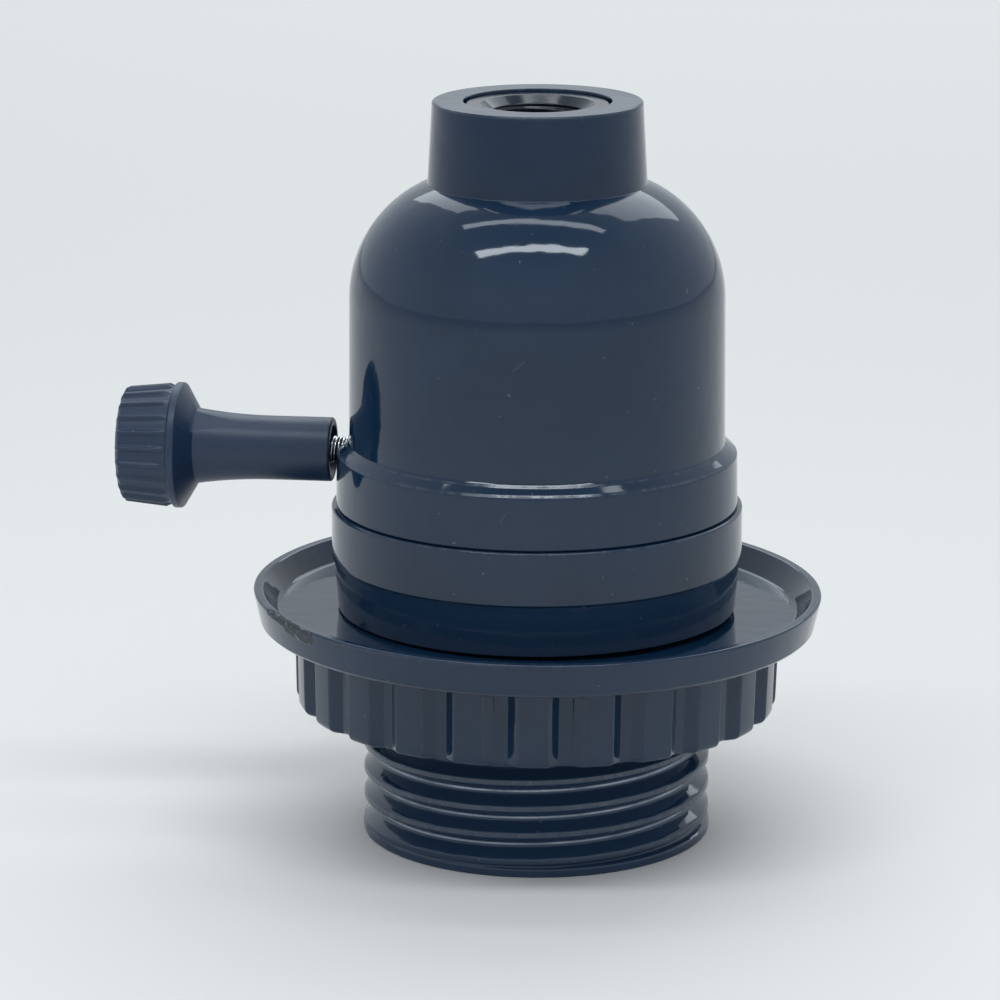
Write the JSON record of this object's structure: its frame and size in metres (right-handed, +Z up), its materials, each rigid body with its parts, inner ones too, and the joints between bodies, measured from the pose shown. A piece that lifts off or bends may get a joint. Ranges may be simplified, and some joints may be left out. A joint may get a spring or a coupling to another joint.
{
  "type": "lamp holder",
  "caption": "Moulded plastic lamp holder with a domed cap, threaded hub, turn-knob rotary switch on one side, coarse external shade thread and a fluted shade ring.",
  "frame": {"origin": "on the axis of the holder, at the first full turn of the hub thread, 1.2 mm below the top of the neck", "axes": "+Z up along the holder's axis, out of the hub thread; the lamp screws in from -Z; the switch knob points along -X"},
  "size_m": [0.0723, 0.0586, 0.0762],
  "materials": {
    "phenolic": "glossy blue-black moulded thermoset",
    "knob_plastic": "satin dark slate moulded plastic",
    "inner_moulding": "dull dark moulded insulator",
    "plated_steel": "zinc plated, lightly oiled",
    "blackened_steel": "black finished steel, lightly oiled",
    "brass": "plain drawn brass",
    "spring_bronze": "rolled spring bronze",
    "contact_silver": "dull silver contact faces"
  },
  "bodies": {
    "holder": {"cap_shell": "phenolic", "hub_bushing": "blackened_steel", "skirt_shell": "phenolic", "switch_base": "inner_moulding", "screw_shell": "brass", "shell_rivets": "brass", "centre_contact": "spring_bronze", "contact_rivet": "brass", "fixed_contact": "brass", "switch_contacts": "contact_silver", "switch_blade": "spring_bronze", "blade_rivet": "brass", "live_terminal_plate": "brass", "neutral_terminal_plate": "brass", "live_terminal_screw": "brass", "neutral_terminal_screw": "plated_steel", "detent_spring": "plated_steel", "detent_screws": "plated_steel"},
    "knob_rotor": {"knob": "knob_plastic", "knob_spindle": "plated_steel", "rotor_shaft": "brass", "switch_rotor": "inner_moulding", "shaft_clip": "plated_steel"},
    "shade_ring": {"shade_ring": "phenolic"}
  },
  "joints": [
    {"name": "knob_turn", "type": "hinge", "parent": "holder", "child": "knob_rotor", "pos_m": [0, 0, -0.0355], "axis": [1, 0, 0], "continuous": true},
    {"name": "ring_travel", "type": "slide", "parent": "holder", "child": "shade_ring", "axis": [0, 0, 1], "range_m": [-0.0128, 0]}
  ]
}
